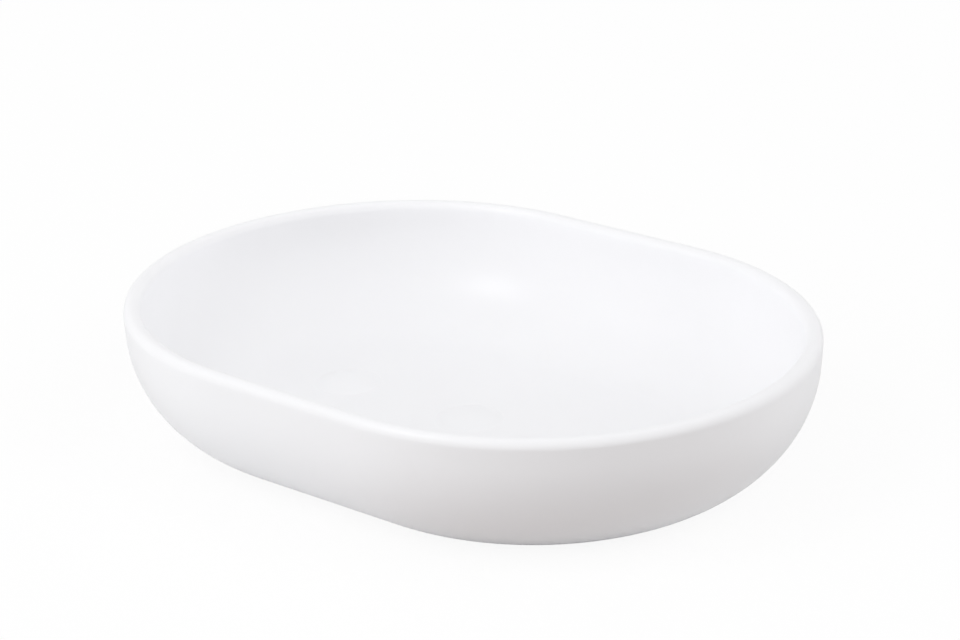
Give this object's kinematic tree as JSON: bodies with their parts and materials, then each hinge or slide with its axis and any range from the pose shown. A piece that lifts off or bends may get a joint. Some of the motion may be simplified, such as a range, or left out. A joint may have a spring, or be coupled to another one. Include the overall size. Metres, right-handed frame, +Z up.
{
  "type": "soap dish",
  "caption": "Shallow open soap dish with straight sides and round ends, a rounded bowl with low moulded soap rests, and non-slip pads let into its flat base.",
  "frame": {"origin": "on the surface that the dish stands on, under the middle of the dish", "axes": "+X along the dish, +Y across it towards the back, +Z up"},
  "size_m": [0.1398, 0.1062, 0.0265],
  "materials": {
    "moulding": "white moulded plastic with an even satin surface",
    "pad": "pale grey silicone rubber, matt"
  },
  "bodies": {
    "root": {"dish_moulding": "moulding", "foot_pad_front_left": "pad", "foot_pad_front_right": "pad", "foot_pad_back_left": "pad", "foot_pad_back_right": "pad"}
  },
  "joints": []
}
